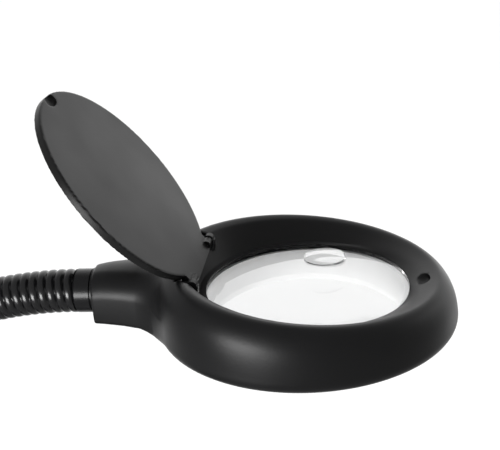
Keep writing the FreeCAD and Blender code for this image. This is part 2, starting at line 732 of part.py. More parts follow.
def lid_closed():
    centre = V(HINGE_U + LID_CENTRE, 0, LID_UNDER)
    disc = Part.makeCylinder(LID_R, LID_T, centre)
    root = box(HINGE_U - LID_TAIL, HINGE_U + 14.0, -KNUCKLE_Y, KNUCKLE_Y, LID_UNDER, LID_UNDER + LID_T)
    trim = box(HINGE_U - 30, HINGE_U - LID_TAIL, -60, 60, 0, 30)
    side = box(HINGE_U - 30, HINGE_U + 3.6, KNUCKLE_Y, 60, 0, 30)
    plate = disc.fuse(root).removeSplitter().cut(trim)
    plate = plate.cut(side).cut(side.mirror(ORIGIN, YAXIS))
    # bevelled outer edge on top
    bevel = Part.makeCone(LID_R + 3.0, LID_R - 1.4, 4.4, V(centre.x, 0, LID_UNDER + LID_T - 3.4))
    bevel = bevel.fuse(box(HINGE_U - 10, HINGE_U + 16.0, -60, 60, 0, 30))
    plate = plate.common(bevel)
    # thinner root, so that the open cover clears the rim
    low = LID_UNDER + 1.9
    root_cut = Part.makePolygon([
        V(HINGE_U - 8, -60, low),
        V(HINGE_U - 8, -60, low + 9),
        V(HINGE_U + 8, -60, low + 9),
        V(HINGE_U + 8, -60, LID_UNDER + LID_T),
        V(HINGE_U - LID_TAIL, -60, low),
        V(HINGE_U - 8, -60, low),
    ])
    plate = plate.cut(Part.Face(root_cut).extrude(V(0, 120, 0)))
    # a short knuckle at each end of the root, with the pin bore in it
    for y in (-KNUCKLE_Y, KNUCKLE_Y - KNUCKLE_L):
        plate = plate.fuse(Part.makeCylinder(2.0, KNUCKLE_L, V(HINGE_U, y, HINGE_W + 0.3), V(0, 1, 0)))
    plate = plate.removeSplitter()
    for y in (-KNUCKLE_Y - 1, KNUCKLE_Y - 4.4):
        plate = plate.cut(Part.makeCylinder(0.95, 5.4, V(HINGE_U, y, HINGE_W), V(0, 1, 0)))
    return plate


def lid_notch(plate):
    """Oval thumb recess in the inner face, open at the tip."""
    tip = HINGE_U + LID_CENTRE + LID_R
    outline = Part.Ellipse(V(tip - 2.7, 5.2, 0), V(tip - 2.7 - 2.9, 0, 0), V(tip - 2.7, 0, 0))
    face = Part.Face(Part.Wire(outline.toShape()))
    return plate.cut(face.extrude(V(0, 0, LID_UNDER + 2.0)))


def lid():
    plate = lid_notch(lid_closed())
    plate.rotate(V(HINGE_U, 0, HINGE_W), YAXIS, -OPEN_DEG)
    return tilted(plate)


# ---- write every sub-part -----------------------------------------------
def main():
    export(base_shell(), "base_shell")
    export(base_plate(), "base_plate")
    export(base_pad(), "base_pad")
    export(base_weight(), "base_weight")
    screws = [screw(x, y, PAD_T - 0.9 + 0.8, 3.0, 1.0, 1.3, 9.0) for x, y in base_screw_places()]
    export(Part.makeCompound(screws), "base_screws")
    export(switch_housing(), "switch_housing")
    export(rocker(), "rocker")
    export(dc_jack(), "dc_jack")
    export(lower_ferrule(), "lower_ferrule")
    export(neck_nut(), "neck_nut")
    export(base_leads(), "base_leads")
    gooseneck()
    glass = lens()
    export(to_row(head_shell()), "head_shell")
    export(to_row(glass), "lens")
    export(to_row(spot_lens(glass)), "spot_lens")
    export(to_row(lens_ring()), "lens_ring")
    export(to_row(led_board()), "led_board")
    export(to_row(leds()), "leds")
    export(to_row(driver_chip()), "driver_chip")
    export(to_row(diffuser()), "diffuser")
    export(to_row(bottom_cover()), "bottom_cover")
    export(to_row(cover_screws()), "cover_screws")
    export(to_row(neck_cover()), "neck_cover")
    export(to_row(upper_ferrule()), "upper_ferrule")
    export(to_row(gland_nut()), "gland_nut")
    export(to_row(lid_pins()), "lid_pins")
    export(to_row(lid()), "lid")


main()
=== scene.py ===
import json
import math

import bpy
import numpy as np
from mathutils import Matrix, Vector


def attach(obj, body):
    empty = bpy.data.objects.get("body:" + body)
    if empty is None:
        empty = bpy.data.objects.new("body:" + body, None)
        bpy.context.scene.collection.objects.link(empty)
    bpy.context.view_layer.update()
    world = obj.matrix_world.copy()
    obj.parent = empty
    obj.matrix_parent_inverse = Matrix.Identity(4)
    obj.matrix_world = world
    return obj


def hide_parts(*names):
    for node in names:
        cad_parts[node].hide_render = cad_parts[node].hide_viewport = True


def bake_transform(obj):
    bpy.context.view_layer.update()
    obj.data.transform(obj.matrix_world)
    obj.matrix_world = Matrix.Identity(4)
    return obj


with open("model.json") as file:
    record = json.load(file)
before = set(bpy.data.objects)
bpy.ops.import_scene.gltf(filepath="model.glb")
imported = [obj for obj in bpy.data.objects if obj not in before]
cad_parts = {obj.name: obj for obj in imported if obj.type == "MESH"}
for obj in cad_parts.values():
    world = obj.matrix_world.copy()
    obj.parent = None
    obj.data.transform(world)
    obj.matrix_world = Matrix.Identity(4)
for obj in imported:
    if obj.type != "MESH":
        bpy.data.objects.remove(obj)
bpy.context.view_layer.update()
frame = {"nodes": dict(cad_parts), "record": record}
nodes = frame["nodes"]
MM = 0.001

# ---- places shared with the CAD model, in millimetres --------------------
HEAD = np.array([257.0, 0.0, 288.2])
NECK_X, BEND_Z, BEND_R = -45.0, 92.0, 195.0
SEG_Z0, SEG_STRAIGHT, BENDS = 48.0, 44.0, 7
BEND_DEG = 90.0 / BENDS
RIB_CREST, RIB_VALLEY, RIB_PITCH = 10.25, 8.75, 4.15
TILT = math.radians(6.0)
RING_X, SLOPE = 0.5, math.tan(math.radians(6.0))
HEAD_R, EQUATOR_Z, BOTTOM_Z, BOWL_R = 69.2, -11.5, -20.5, 50.0
CREST_R, CREST_Z, RIM_R, RIM_Z = 59.6, 10.2, 55.4, 8.9
LENS_SIGHT_R, WELL_R, WELL_Z = 45.0, 48.0, 1.2
NECK_END, NECK_AXIS_Z = -97.5, -1.2
HINGE_U, HINGE_W, KNUCKLE_Y, KNUCKLE_L = -48.0, 8.2, 23.6, 5.6
LID_R, LID_T, LID_UNDER, LID_U, LID_TAIL = 51.2, 3.4, 8.45, 1.6, 2.6
OPEN = math.radians(133.6)
NECK_BORE_R, AROUND, RING_STEP, REACH, REACH_INSET = 7.6, 56, 0.42, 2.0, 0.04
LUG_R, LUG_Y, LUG_HALF, PIN_R = 2.3, 26.05, 1.95, 0.97
DIMPLE_U, DIMPLE_W, DIMPLE_RADII = 52.8, RIM_Z - 0.6, (3.4, 5.2, 2.7)
SOCKET_R, SOCKET_DEPTH = 8.05, 12.0
# bores from below as (radius, top): the lens seat, the space under its barrel, the cover's seat
BORES = [(47.65, 0.0), (49.6, -5.2), (61.15, -16.5)]
BOARD_IN, BOARD_OUT, BOARD_TOP = 49.4, 62.0, -6.9


# ---- material helpers ----------------------------------------------------
def new_material(name):
    mat = bpy.data.materials.new(name)
    mat.use_nodes = True
    tree = mat.node_tree
    bsdf = tree.nodes["Principled BSDF"]
    return mat, tree, bsdf


def add(tree, kind, **values):
    node = tree.nodes.new(kind)
    for key, value in values.items():
        setattr(node, key, value)
    return node


def noise(tree, coord, scale, detail=3.0, rough=0.55):
    node = add(tree, "ShaderNodeTexNoise")
    node.inputs["Scale"].default_value = scale
    node.inputs["Detail"].default_value = detail
    node.inputs["Roughness"].default_value = rough
    tree.links.new(coord, node.inputs["Vector"])
    return node.outputs["Fac"]


def remap(tree, value, low, high, out_low, out_high):
    node = add(tree, "ShaderNodeMapRange")
    node.inputs["From Min"].default_value = low
    node.inputs["From Max"].default_value = high
    node.inputs["To Min"].default_value = out_low
    node.inputs["To Max"].default_value = out_high
    tree.links.new(value, node.inputs["Value"])
    return node.outputs["Result"]


def mix_colour(tree, fac, a, b):
    node = add(tree, "ShaderNodeMix", data_type="RGBA")
    node.inputs["A"].default_value = (*a, 1.0)
    node.inputs["B"].default_value = (*b, 1.0)
    tree.links.new(fac, node.inputs["Factor"])
    return node.outputs["Result"]


def bump(tree, bsdf, height, strength, distance):
    node = add(tree, "ShaderNodeBump")
    node.inputs["Strength"].default_value = strength
    node.inputs["Distance"].default_value = distance
    tree.links.new(height, node.inputs["Height"])
    tree.links.new(node.outputs["Normal"], bsdf.inputs["Normal"])


def grey(value):
    return (value, value, value)


def moulded(name, dark, light, rough, grain=900.0, strength=0.25, spread=0.05, specular=0.2):
    """Moulded plastic: fine grain, slow mottling of colour and of roughness."""
    mat, tree, bsdf = new_material(name)
    coord = add(tree, "ShaderNodeTexCoord").outputs["Object"]
    slow = noise(tree, coord, 28.0, 2.0)
    fine = noise(tree, coord, grain, 2.0, 0.6)
    roughness = remap(tree, slow, 0.3, 0.7, rough - spread, rough + spread)
    tree.links.new(mix_colour(tree, slow, dark, light), bsdf.inputs["Base Color"])
    tree.links.new(roughness, bsdf.inputs["Roughness"])
    bsdf.inputs["Specular IOR Level"].default_value = specular
    bump(tree, bsdf, fine, strength, 0.00012)
    return mat


def metal(name, dark, light, rough):
    """Bare or plated metal, slightly mottled."""
    mat, tree, bsdf = new_material(name)
    coord = add(tree, "ShaderNodeTexCoord").outputs["Object"]
    fac = noise(tree, coord, 300.0)
    roughness = remap(tree, fac, 0.3, 0.7, rough - 0.06, rough + 0.08)
    tree.links.new(mix_colour(tree, fac, dark, light), bsdf.inputs["Base Color"])
    tree.links.new(roughness, bsdf.inputs["Roughness"])
    bsdf.inputs["Metallic"].default_value = 1.0
    bump(tree, bsdf, fac, 0.08, 0.0001)
    return mat


def clear(name, tint, ior):
    """Optical plastic: weak refraction under a polished coat, with faint surface haze."""
    mat, tree, bsdf = new_material(name)
    coord = add(tree, "ShaderNodeTexCoord").outputs["Object"]
    haze = noise(tree, coord, 60.0, 3.0)
    bsdf.inputs["Base Color"].default_value = (*tint, 1.0)
    tree.links.new(remap(tree, haze, 0.4, 0.9, 0.0, 0.02), bsdf.inputs["Roughness"])
    bsdf.inputs["Transmission Weight"].default_value = 1.0
    bsdf.inputs["IOR"].default_value = ior
    bsdf.inputs["Coat Weight"].default_value = 0.8
    bsdf.inputs["Coat IOR"].default_value = 1.49
    bsdf.inputs["Coat Roughness"].default_value = 0.02
    return mat


def milky(name, colour, rough):
    """Translucent plastic that scatters light inside."""
    mat, tree, bsdf = new_material(name)
    coord = add(tree, "ShaderNodeTexCoord").outputs["Object"]
    fac = noise(tree, coord, 500.0, 2.0)
    bsdf.inputs["Base Color"].default_value = (*colour, 1.0)
    tree.links.new(remap(tree, fac, 0.3, 0.7, rough - 0.04, rough + 0.04), bsdf.inputs["Roughness"])
    bsdf.inputs["Subsurface Weight"].default_value = 0.5
    bsdf.inputs["Subsurface Radius"].default_value = (0.002, 0.002, 0.002)
    bump(tree, bsdf, fac, 0.15, 0.0001)
    return mat


def foam(name, dark, light):
    """Cellular foam with open pores, their pits painted darker as shade."""
    mat, tree, bsdf = new_material(name)
    coord = add(tree, "ShaderNodeTexCoord").outputs["Object"]
    cells = add(tree, "ShaderNodeTexVoronoi")
    cells.inputs["Scale"].default_value = 1400.0
    tree.links.new(coord, cells.inputs["Vector"])
    # painted shade: the colour darkens where the bump dips, inside the pores
    colour = mix_colour(tree, cells.outputs["Distance"], dark, light)
    tree.links.new(colour, bsdf.inputs["Base Color"])
    bsdf.inputs["Roughness"].default_value = 0.9
    bump(tree, bsdf, cells.outputs["Distance"], 0.5, 0.0003)
    return mat


GLOSS_BLACK = ((0.004, 0.004, 0.0044), (0.006, 0.006, 0.0065))
SATIN_BLACK = ((0.0035, 0.0035, 0.0038), (0.0055, 0.0055, 0.0058))
DULL_BLACK = ((0.010, 0.010, 0.011), (0.016, 0.016, 0.017))
SHEET_BLACK = ((0.014, 0.014, 0.015), (0.02, 0.02, 0.021))
MASK_WHITE = ((0.68, 0.70, 0.68), (0.74, 0.76, 0.74))
LOOKS = {
    "base_plastic": moulded("base plastic", *DULL_BLACK, 0.42),
    "cast_weight": metal("cast weight", (0.06, 0.06, 0.062), (0.11, 0.11, 0.11), 0.6),
    "base_plate_steel": moulded("base plate", *SHEET_BLACK, 0.5, 500.0, 0.4),
    "pad_foam": foam("pad foam", grey(0.02), grey(0.045)),
    "zinc_screw": metal("zinc screw", (0.5, 0.5, 0.52), (0.66, 0.66, 0.67), 0.3),
    "black_screw": metal("black screw", grey(0.02), grey(0.04), 0.38),
    "switch_plastic": moulded("switch plastic", grey(0.008), grey(0.012), 0.24, 700.0, 0.05),
    "rocker_plastic": moulded("rocker plastic", grey(0.010), grey(0.015), 0.28, 700.0, 0.06),
    "jack_plastic": moulded("jack plastic", grey(0.008), grey(0.012), 0.3, 700.0, 0.05),
    "lead_pvc": moulded("lead sheath", grey(0.012), grey(0.02), 0.45, 600.0, 0.2),
    "ferrule_black": moulded("ferrule black", *GLOSS_BLACK, 0.28, 500.0, 0.04, 0.04, 0.25),
    "nut_steel": metal("nut steel", (0.42, 0.42, 0.44), (0.55, 0.55, 0.56), 0.3),
    "pin_steel": metal("pin steel", (0.35, 0.35, 0.36), (0.48, 0.48, 0.5), 0.25),
    "neck_ribs": moulded("neck ribs", *GLOSS_BLACK, 0.24, 500.0, 0.04, 0.04, 0.4),
    "neck_spiral": metal("neck spiral", (0.25, 0.25, 0.26), (0.36, 0.36, 0.37), 0.35),
    "head_plastic": moulded("head plastic", *SATIN_BLACK, 0.40),
    "cover_plastic": moulded("cover plastic", *DULL_BLACK, 0.46),
    "lid_plastic": moulded("lid plastic", grey(0.006), grey(0.008), 0.38, 900.0, 0.15, 0.05, 0.15),
    "lens_clear": clear("lens clear", (0.80, 0.803, 0.803), 1.05),
    "spot_clear": clear("spot clear", (0.985, 0.987, 0.987), 1.06),
    "ring_white": moulded("ring white", grey(0.88), grey(0.92), 0.45, 700.0, 0.1),
    "board_white": moulded("board white", *MASK_WHITE, 0.35, 400.0, 0.05),
    "led_phosphor": milky("led phosphor", (0.85, 0.70, 0.22), 0.4),
    "chip_black": moulded("chip black", (0.012, 0.012, 0.013), grey(0.02), 0.5, 800.0, 0.2),
    "diffuser_milk": milky("diffuser milk", (0.82, 0.82, 0.81), 0.38),
}
slot_of = {entry["node"]: entry["material_slot"] for entry in frame["record"]["subparts"]}
for name, obj in nodes.items():
    obj.data.materials.clear()
    obj.data.materials.append(LOOKS[slot_of[name]])


# ---- mesh helpers --------------------------------------------------------
def mesh_object(name, verts, faces, look, sharp=60.0):
    """Smooth-shaded mesh in metres, with edges sharper than the given degrees kept sharp."""
    mesh = bpy.data.meshes.new(name)
    mesh.from_pydata([tuple(v) for v in verts], [], [tuple(f) for f in faces])
    mesh.validate()
    mesh.polygons.foreach_set("use_smooth", [True] * len(mesh.polygons))
    mesh.set_sharp_from_angle(angle=math.radians(sharp))
    mesh.materials.append(LOOKS[look])
    obj = bpy.data.objects.new(name, mesh)
    bpy.context.scene.collection.objects.link(obj)
    return obj


# ---- gooseneck: helical ribs along the bent centre line ------------------
def centre_line(s):
    """Point and tangent in mm at arc length s from the lower ferrule."""
    if s <= SEG_STRAIGHT:
        return np.array([NECK_X, 0.0, SEG_Z0 + s]), np.array([0.0, 0.0, 1.0])
    turn = (s - SEG_STRAIGHT) / BEND_R
    quarter = math.pi / 2
    if turn <= quarter:
        point = np.array([BEND_R - BEND_R * math.cos(turn), 0.0, BEND_R * math.sin(turn)])
        return BEND_START + point, np.array([math.sin(turn), 0.0, math.cos(turn)])
    past = (turn - quarter) * BEND_R
    return BEND_START + np.array([BEND_R + past, 0.0, BEND_R]), np.array([1.0, 0.0, 0.0])


BEND_START = np.array([NECK_X, 0.0, BEND_Z])
ARC = math.radians(BEND_DEG) * BEND_R
NECK_LENGTH = SEG_STRAIGHT + ARC * BENDS


def rib_height(phase):
    """0 in the groove, 1 on the crest: a round rib with a narrower groove."""
    x = np.abs(((phase % 1.0) - 0.5) * 2.0)
    return np.sqrt(np.clip(1.0 - x ** 2.4, 0.0, 1.0))


def neck_ring(s, radius, phi):
    """Closed ring of points round the centre line at arc length s."""
    point, tangent = centre_line(s)
    side = np.array([0.0, 1.0, 0.0])
    up = np.cross(tangent, side)
    return point + np.outer(radius * np.cos(phi), side) + np.outer(radius * np.sin(phi), up)


def neck_piece(name, s0, s1, reach=0.0):
    """Ribbed sleeve from s0 to s1. Its reach goes on just inside the next, to cover a bend."""
    end = s1 + reach
    rings = int(round((end - s0) / RING_STEP))
    phi = np.arange(AROUND) / AROUND * 2 * math.pi
    verts = []
    for s in np.linspace(s0, end, rings + 1):
        height = rib_height(s / RIB_PITCH - phi / (2 * math.pi))
        radius = RIB_VALLEY + (RIB_CREST - RIB_VALLEY) * height
        verts.append(neck_ring(s, radius - (REACH_INSET if s > s1 else 0.0), phi))
    for s in np.linspace(end, s0, rings // 6 + 1):
        verts.append(neck_ring(s, NECK_BORE_R, phi))
    faces = []
    for i in range(len(verts)):
        a, b = i * AROUND, (i + 1) % len(verts) * AROUND
        for j in range(AROUND):
            k = (j + 1) % AROUND
            faces.append((a + j, a + k, b + k, b + j))
    return mesh_object(name, np.concatenate(verts) * MM, faces, "neck_ribs")


def joint_at(k):
    """Arc length at neck joint k, 1 to 7: the odd ones bend the neck, the even ones sway it."""
    return SEG_STRAIGHT + ARC * (k - 1)


def build_neck():
    """Stiff sleeves that meet at the bending joints, each curved smoothly over a swaying joint."""
    first = neck_piece("neck_ribs_1", 0.0, joint_at(1), REACH)
    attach(first, "base")
    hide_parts("neck_sleeve_1")
    for k in (2, 4, 6):
        piece = neck_piece("neck_ribs_%d" % k, joint_at(k - 1), joint_at(k + 1), REACH)
        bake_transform(piece)
        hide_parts("neck_sleeve_%d" % k, "neck_sleeve_%d" % (k + 1))
    last = neck_piece("neck_ribs_8", joint_at(7), NECK_LENGTH)
    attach(last, "head")
    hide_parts("neck_sleeve_8")


build_neck()


# ---- head: one smooth skin from implicit forms ---------------------------
def tilt_frame(x, z):
    """Into the rim's own frame: u along the slanted rim plane, w square to it."""
    return x * math.cos(TILT) - z * math.sin(TILT), x * math.sin(TILT) + z * math.cos(TILT)


def ellipse_field(p, q, a, b):
    """Nearly the distance in mm to an ellipse, negative inside, as in all fields but the wall's."""
    f = np.sqrt((p / a) ** 2 + (q / b) ** 2) + 1e-9
    grad = np.sqrt((p / a ** 2) ** 2 + (q / b ** 2) ** 2) / f + 1e-9
    return (f - 1.0) / grad


def ellipsoid_field(p, q, r, a, b, c):
    f = np.sqrt((p / a) ** 2 + (q / b) ** 2 + (r / c) ** 2) + 1e-9
    grad = np.sqrt((p / a ** 2) ** 2 + (q / b ** 2) ** 2 + (r / c ** 2) ** 2) / f + 1e-9
    return (f - 1.0) / grad


def smooth_max(a, b, k):
    """The larger of two fields, rounded over a width k where they meet."""
    h = np.clip(0.5 + 0.5 * (a - b) / k, 0.0, 1.0)
    return b + (a - b) * h + k * h * (1.0 - h)


def smooth_min(a, b, k):
    return -smooth_max(-a, -b, k)


# Width over which the ring's upper and lower halves, and the ring and neck, run together.
# The ring is grown a little, which gives back part of what the first takes off its side.
RING_BLEND, RING_GROWTH, NECK_BLEND = 2.5, 0.3, 9.0


def ring_field(x, y, z):
    """Ring: round shoulder up to the slanted crest, shallow bowl underneath."""
    r = np.hypot(x - RING_X, y)
    w = z + SLOPE * (x - RING_X)
    upper = ellipse_field(np.maximum(r - CREST_R, 0.0), np.maximum(w - EQUATOR_Z, 0.0),
                          HEAD_R - CREST_R, CREST_Z - EQUATOR_Z)
    upper = np.where(w > EQUATOR_Z, upper, r - HEAD_R)
    inward = np.maximum(CREST_R - r, 0.0) / (CREST_R - RIM_R)
    fall = CREST_Z - RIM_Z
    slope = 1.5 * fall * np.sqrt(inward) / (CREST_R - RIM_R)
    crown = (w - CREST_Z + fall * inward ** 1.5) / np.sqrt(1.0 + slope ** 2)
    upper = np.where((r < CREST_R) & (w > EQUATOR_Z), crown, upper)
    lower = ellipse_field(np.maximum(r - BOWL_R, 0.0), np.minimum(z - EQUATOR_Z, 0.0),
                          HEAD_R - BOWL_R, EQUATOR_Z - BOTTOM_Z)
    lower = np.where(z < EQUATOR_Z, lower, r - HEAD_R)
    lower = np.where((r < BOWL_R) & (z < EQUATOR_Z), BOTTOM_Z - z, lower)
    return smooth_max(upper, lower, RING_BLEND) - RING_GROWTH


def along(x, table):
    """Each column of the table after the first, interpolated at x."""
    xs = [row[0] for row in table]
    return [np.interp(x, xs, [row[i] for row in table]) for i in range(1, len(table[0]))]


# the neck's flare: x, half width, lowest z, highest z
NECK_TABLE = [
    (-100.0, 12.2, -13.4, 9.6),
    (-97.5, 12.4, -13.4, 10.2),
    (-93.5, 13.0, -13.4, 11.0),
    (-90.0, 13.6, -13.5, 11.5),
    (-83.0, 14.8, -13.7, 12.0),
    (-76.0, 16.2, -14.3, 12.4),
    (-68.0, 19.0, -15.6, 12.6),
    (-60.0, 24.0, -17.0, 12.4),
    (-50.0, 28.0, -18.0, 12.0),
]


NECK_ROUND_TOP, NECK_ROUND_LOW, NECK_ROUND_END, NECK_STOP = 8.4, 1.8, 1.2, -46.0
SIDE_BULGE, TOP_CROWN = 0.0045, 0.016


def rounded(p, q, radius):
    """Two faces with a round corner between them, from the fields of each face."""
    p, q = p + radius, q + radius
    return np.hypot(np.maximum(p, 0), np.maximum(q, 0)) + np.minimum(np.maximum(p, q), 0) - radius


def neck_field(x, y, z):
    """Neck of the head: bulging sides, rounded crowned top, flat underside."""
    half, low, high = along(x, NECK_TABLE)
    middle = (low + high) / 2
    tall = (high - low) / 2
    above = z > middle
    side = np.abs(y) - half + SIDE_BULGE * z ** 2
    top = np.abs(z - middle) - tall + np.where(above, TOP_CROWN * y ** 2, 0.0)
    section = rounded(side, top, np.where(above, NECK_ROUND_TOP, NECK_ROUND_LOW))
    capped = smooth_max(section, NECK_END - x, NECK_ROUND_END)
    return np.maximum(capped, x - NECK_STOP)


def outer_field(x, y, z):
    return smooth_min(ring_field(x, y, z), neck_field(x, y, z), NECK_BLEND)


def wall_field(x, y, z):
    """Tapered wall between the lens edge and the tilted rim: positive in the material."""
    r = np.hypot(x, y) + 1e-9
    c, s = x / r, y / r
    ru = np.hypot(RING_X + RIM_R * c, RIM_R * s)
    zu = RIM_Z - SLOPE * RIM_R * c
    dr, dz = ru - WELL_R, zu - WELL_Z
    length = np.hypot(dr, dz)
    return ((r - WELL_R) * dz - (z - WELL_Z) * dr) / length


def box_field(p, low, high):
    """Box between two corners, at the coordinates p."""
    centre = (np.array(low) + np.array(high)) / 2
    half = (np.array(high) - np.array(low)) / 2
    q = [np.abs(p[i] - centre[i]) - half[i] for i in range(3)]
    outside = np.sqrt(sum(np.maximum(v, 0) ** 2 for v in q))
    return outside + np.minimum(np.maximum(np.maximum(q[0], q[1]), q[2]), 0)


# low and high corners about the hinge line. The foot has no bound in y, and the lug's own ends it.
ABOVE_RIM = 20.0
POCKET = (HINGE_U - 5.4, -KNUCKLE_Y - 0.5, HINGE_W - 4.6), (HINGE_U + 6, KNUCKLE_Y + 0.5, ABOVE_RIM)
RELIEF = (HINGE_U - 7.4, -28.4, HINGE_W + 0.6), (HINGE_U + 2.0, 28.4, ABOVE_RIM)
LUG_FOOT = (HINGE_U - 2.6, -1, 3.0), (HINGE_U + 2.8, 1, HINGE_W)


def hinge_room_field(u, y, w):
    """Pocket cut in the rim for the cover's root, and a wider relief above it for the lugs."""
    return np.minimum(box_field((u, y, w), *POCKET), box_field((u, y, w), *RELIEF))


def lugs_field(u, y, w):
    """Two lugs outside the knuckles: a round eye on a foot."""
    eye = np.hypot(u - HINGE_U, w - HINGE_W) - LUG_R
    foot = box_field((u, y * 0, w), *LUG_FOOT)
    return smooth_max(np.minimum(eye, foot), np.abs(np.abs(y) - LUG_Y) - LUG_HALF, 0.6)


def underside_field(r, z):
    """Stepped bore from below, with the channel of the lamp board round it."""
    under = np.maximum(np.maximum(r - BOARD_OUT, BOARD_IN - r), z - BOARD_TOP)
    for radius, top in BORES:
        under = np.minimum(under, np.maximum(r - radius, z - top))
    return under


def shell_field(x, y, z):
    """The head's moulded ring with its neck, well, hinge lugs and the spaces inside."""
    u, w = tilt_frame(x, z)
    r = np.hypot(x, y)
    body = outer_field(x, y, z)
    body = smooth_max(body, -np.maximum(wall_field(x, y, z), WELL_Z - z), 0.45)
    body = smooth_max(body, -hinge_room_field(u, y, w), 0.7)
    body = smooth_min(body, lugs_field(u, y, w), 0.8)
    dimple = ellipsoid_field(u - DIMPLE_U, y, w - DIMPLE_W, *DIMPLE_RADII)
    body = smooth_max(body, -dimple, 0.5)
    body = np.maximum(body, LENS_SIGHT_R - r)
    body = np.maximum(body, -underside_field(r, z))
    socket = np.maximum(np.hypot(y, z - NECK_AXIS_Z) - SOCKET_R, x - NECK_END - SOCKET_DEPTH)
    return np.maximum(np.maximum(body, -socket), -window_field(x, y, z, PANEL_GAP))


WINDOW_X, WINDOW_Y, WINDOW_Z, WINDOW_R = (-92.0, -60.5), 9.5, (-30.0, -8.0), 62.6
PANEL_INSET, PANEL_DEPTH, PANEL_GAP = 0.05, 2.2, 0.2


def window_field(x, y, z, gap):
    """Opening in the neck's underside, which its cover fills. The ring bounds it at one end."""
    side = WINDOW_Y + gap
    low, high = (WINDOW_X[0] - gap, -side, WINDOW_Z[0]), (WINDOW_X[1], side, WINDOW_Z[1])
    return np.maximum(box_field((x, y, z), low, high), WINDOW_R - gap - np.hypot(x, y))


def neck_cover_field(x, y, z):
    """Panel that fills the window and lies just under the neck's outer surface."""
    outer = outer_field(x, y, z)
    panel = np.maximum(outer + PANEL_INSET, window_field(x, y, z, 0.0))
    return smooth_max(panel, -(outer + PANEL_DEPTH), 0.2)


ROOT = (HINGE_U - 6, -KNUCKLE_Y, -1), (HINGE_U + 14, KNUCKLE_Y, 1)
SHOULDER_U, ROUND_U = HINGE_U + 3.6, HINGE_U + 4.0
EDGE_LOW, EDGE_TOP, EDGE_ROOT = 0.8, 0.6, 0.3
ROOT_T, ROOT_RISE = 1.9, 0.1415
EYE_R, EYE_LIFT, PIN_DEPTH = 2.0, 0.3, 4.4
THUMB_IN, THUMB_U, THUMB_Y, THUMB_DEPTH = 2.7, 2.9, 5.2, 2.0


def lid_plan_field(u, y, w):
    """Outline seen from above: a disc, a root between the knuckles and a straight tail."""
    plan = np.minimum(np.hypot(u - LID_U, y) - LID_R, box_field((u, y, w * 0), *ROOT))
    beside = np.minimum(SHOULDER_U - u, np.abs(y) - KNUCKLE_Y)
    return np.maximum(smooth_max(plan, beside, 0.8), HINGE_U - LID_TAIL - u)


def lid_field(u, y, w):
    """Cover as it lies closed: thinner root with two knuckles, thumb recess at the tip."""
    middle, half = LID_UNDER + LID_T / 2, LID_T / 2
    radius = np.where(w < middle, EDGE_LOW, EDGE_TOP)
    radius = np.where(u < ROUND_U, EDGE_ROOT, radius)
    plate = rounded(lid_plan_field(u, y, w), np.abs(w - middle) - half, radius)
    thin = w - LID_UNDER - ROOT_T - (u - HINGE_U + LID_TAIL) * ROOT_RISE
    plate = smooth_max(plate, thin, 0.3)
    knuckle = np.hypot(u - HINGE_U, w - HINGE_W - EYE_LIFT) - EYE_R
    ends = np.abs(np.abs(y) - KNUCKLE_Y + KNUCKLE_L / 2) - KNUCKLE_L / 2
    plate = smooth_min(plate, smooth_max(knuckle, ends, 0.4), 0.5)
    inner_end = KNUCKLE_Y - PIN_DEPTH - np.abs(y)
    pin = np.maximum(np.hypot(u - HINGE_U, w - HINGE_W) - PIN_R, inner_end)
    plate = np.maximum(plate, -pin)
    thumb_u = LID_U + LID_R - THUMB_IN
    oval = (np.hypot((u - thumb_u) / THUMB_U, y / THUMB_Y) - 1.0) * THUMB_U
    return smooth_max(plate, -smooth_max(oval, w - LID_UNDER - THUMB_DEPTH, 1.2), 0.5)


def open_lid(points):
    """From the closed cover's tilted frame to its open place in the head's frame."""
    u, y, w = points[:, 0] - HINGE_U, points[:, 1], points[:, 2] - HINGE_W
    x, z = u * math.cos(TILT) + w * math.sin(TILT), -u * math.sin(TILT) + w * math.cos(TILT)
    turned_x = x * math.cos(OPEN) - z * math.sin(OPEN)
    turned_z = x * math.sin(OPEN) + z * math.cos(OPEN)
    hinge_x = HINGE_U * math.cos(TILT) + HINGE_W * math.sin(TILT)
    hinge_z = -HINGE_U * math.sin(TILT) + HINGE_W * math.cos(TILT)
    return np.stack([turned_x + hinge_x, y, turned_z + hinge_z], axis=1)


def gradient(field, p, eps=0.01):
    """Unit normals of a field at the points p."""
    x, y, z = p.T
    g = np.stack([
        field(x + eps, y, z) - field(x - eps, y, z),
        field(x, y + eps, z) - field(x, y - eps, z),
        field(x, y, z + eps) - field(x, y, z - eps),
    ], axis=1)
    return g / (np.sqrt((g ** 2).sum(axis=1)) + 1e-12)[:, None]


# search for a crossing: rounds, and the share of the span kept clear at each end of it
ROUNDS, CLEAR_SHARE = 4, 0.02
# weight that holds a vertex to the middle of its crossings where the planes leave it free
HOLD = 0.04


def crossings(field, f, low, step, axis):
    """Grid edges along one axis that the surface cuts: start index, place, way through."""
    slicer, upper = [slice(None)] * 3, [slice(None)] * 3
    slicer[axis], upper[axis] = slice(0, -1), slice(1, None)
    fa, fb = f[tuple(slicer)], f[tuple(upper)]
    at = np.argwhere((fa < 0) != (fb < 0))
    va, vb = fa[tuple(at.T)], fb[tuple(at.T)]
    start = at * step + np.array(low)
    ta, tb = np.zeros(len(at)), np.ones(len(at))
    for _ in range(ROUNDS):
        guard = CLEAR_SHARE * (tb - ta)
        t = np.clip((ta * vb - tb * va) / (vb - va), ta + guard, tb - guard)
        place = start.copy()
        place[:, axis] += t * step
        v = field(*place.T)
        left = (v < 0) == (va < 0)
        ta, va = np.where(left, t, ta), np.where(left, v, va)
        tb, vb = np.where(left, tb, t), np.where(left, vb, v)
    return at, place, fa[tuple(at.T)] < 0


